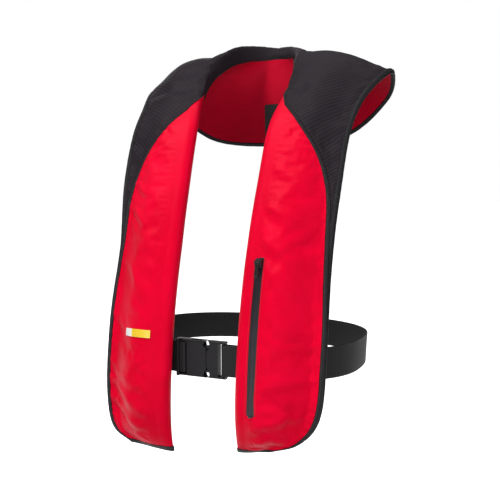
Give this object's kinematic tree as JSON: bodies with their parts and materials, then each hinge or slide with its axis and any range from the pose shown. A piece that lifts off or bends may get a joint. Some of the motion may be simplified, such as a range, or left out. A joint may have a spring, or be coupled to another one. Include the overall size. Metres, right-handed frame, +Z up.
{
  "type": "inflatable life jacket",
  "caption": "Inflatable life jacket with red cloth lobes, black shoulder yoke, lined collar, webbing belt and side-release buckle, held open as if worn.",
  "frame": {"origin": "middle of the neck opening, where the wearer's neck passes through", "axes": "+X to the wearer's left, +Y to the wearer's back, +Z up along the body"},
  "size_m": [0.3766, 0.2841, 0.5399],
  "materials": {
    "red_cloth": "coated red cover cloth, slight sheen",
    "red_lining": "matt red lining",
    "black_ripstop": "black ripstop",
    "black_cloth": "black back cloth",
    "black_binding": "black grosgrain",
    "hook_and_loop": "hook-and-loop strip",
    "bladder_film": "yellow coated bladder cloth",
    "black_webbing": "ribbed polyester webbing",
    "black_acetal": "moulded black acetal",
    "zip_tape": "smooth coated zip tape",
    "zip_metal": "black painted die casting and coil",
    "zinc_steel": "zinc plated steel",
    "grey_plastic": "moulded plastic",
    "yellow_plastic": "moulded yellow plastic",
    "brass": "turned brass",
    "black_rubber": "black rubber",
    "red_plastic": "moulded red plastic",
    "orange_plastic": "moulded orange plastic",
    "label_cloth": "plain woven label"
  },
  "bodies": {
    "jacket": {"back_binding_left": "black_binding", "back_binding_right": "black_binding", "back_lining": "red_lining", "back_sheet_left": "black_cloth", "back_sheet_right": "black_cloth", "back_strap": "black_webbing", "belt_adjuster": "black_acetal", "belt_keeper_left": "black_webbing", "belt_keeper_right": "black_webbing", "belt_webbing": "black_webbing", "bladder": "bladder_film", "blank_label": "label_cloth", "buckle_socket": "black_acetal", "closure_hook_left": "hook_and_loop", "closure_hook_right": "hook_and_loop", "closure_loop_left": "hook_and_loop", "closure_loop_right": "hook_and_loop", "cover_panel_left": "red_cloth", "cover_panel_right": "red_cloth", "hem_binding": "black_binding", "inflator_body": "grey_plastic", "manifold_nut": "brass", "manifold_stem": "brass", "neck_tape": "black_binding", "oral_elbow": "black_rubber", "oral_tube": "black_rubber", "panel_binding_left": "black_binding", "panel_binding_right": "black_binding", "panel_piping_left": "black_binding", "panel_piping_right": "black_binding", "sensor_cartridge": "grey_plastic", "shoulder_binding": "black_binding", "shoulder_cover": "black_ripstop", "socket_webbing": "black_webbing", "whistle": "orange_plastic", "zip_coil": "zip_metal", "zip_stop": "zip_metal", "zip_tape": "zip_tape"},
    "zip_slider": {"zip_slider": "zip_metal"},
    "zip_pull": {"zip_pull": "zip_metal"},
    "buckle_plug": {"buckle_plug": "black_acetal", "plug_webbing": "black_webbing"},
    "latch_upper": {"latch_upper": "black_acetal"},
    "latch_lower": {"latch_lower": "black_acetal"},
    "gas_bottle": {"gas_bottle": "zinc_steel"},
    "firing_lever": {"firing_lever": "grey_plastic"},
    "sensor_cap": {"sensor_cap": "yellow_plastic"},
    "oral_valve": {"oral_valve": "red_plastic"},
    "oral_dust_cap": {"oral_dust_cap": "black_rubber"}
  },
  "joints": [
    {"name": "zip_slide", "type": "hinge", "parent": "jacket", "child": "zip_slider", "pos_m": [0.071, 0.5632, -0.45], "axis": [1, 0, 0], "range_deg": [0, 13.42]},
    {"name": "zip_pull_lift", "type": "hinge", "parent": "zip_slider", "child": "zip_pull", "pos_m": [0.0701, -0.15799, -0.24375], "axis": [0.9765, -0.2071, 0.0592], "range_deg": [-150, 0]},
    {"name": "buckle_release", "type": "slide", "parent": "jacket", "child": "buckle_plug", "axis": [1, 0, 0], "range_m": [0, 0.028]},
    {"name": "latch_upper_squeeze", "type": "hinge", "parent": "buckle_plug", "child": "latch_upper", "pos_m": [-0.0031, -0.1425, -0.3552], "axis": [0, 1, 0], "range_deg": [-6.5, 0], "stiffness_Nm_per_rad": 0.15},
    {"name": "latch_lower_squeeze", "type": "hinge", "parent": "buckle_plug", "child": "latch_lower", "pos_m": [-0.0031, -0.1425, -0.3848], "axis": [0, 1, 0], "range_deg": [0, 6.5], "stiffness_Nm_per_rad": 0.15},
    {"name": "gas_bottle_unscrew", "type": "hinge", "parent": "jacket", "child": "gas_bottle", "pos_m": [0.09, -0.1598, -0.33288], "axis": [0, 0.1597, 0.9872], "continuous": true},
    {"name": "firing_lever_pull", "type": "hinge", "parent": "jacket", "child": "firing_lever", "pos_m": [0.087, -0.16875, -0.38816], "axis": [0, 0.9872, -0.1597], "range_deg": [0, 75]},
    {"name": "sensor_cap_unscrew", "type": "hinge", "parent": "jacket", "child": "sensor_cap", "pos_m": [0.0717, -0.16779, -0.38223], "axis": [1, 0, 0], "continuous": true},
    {"name": "oral_valve_press", "type": "slide", "parent": "jacket", "child": "oral_valve", "axis": [0, -0.2083, -0.9781], "range_m": [0, 0.003], "stiffness_N_per_m": 150},
    {"name": "oral_cap_pull", "type": "slide", "parent": "jacket", "child": "oral_dust_cap", "axis": [0, 0.2083, 0.9781], "range_m": [0, 0.014]}
  ]
}
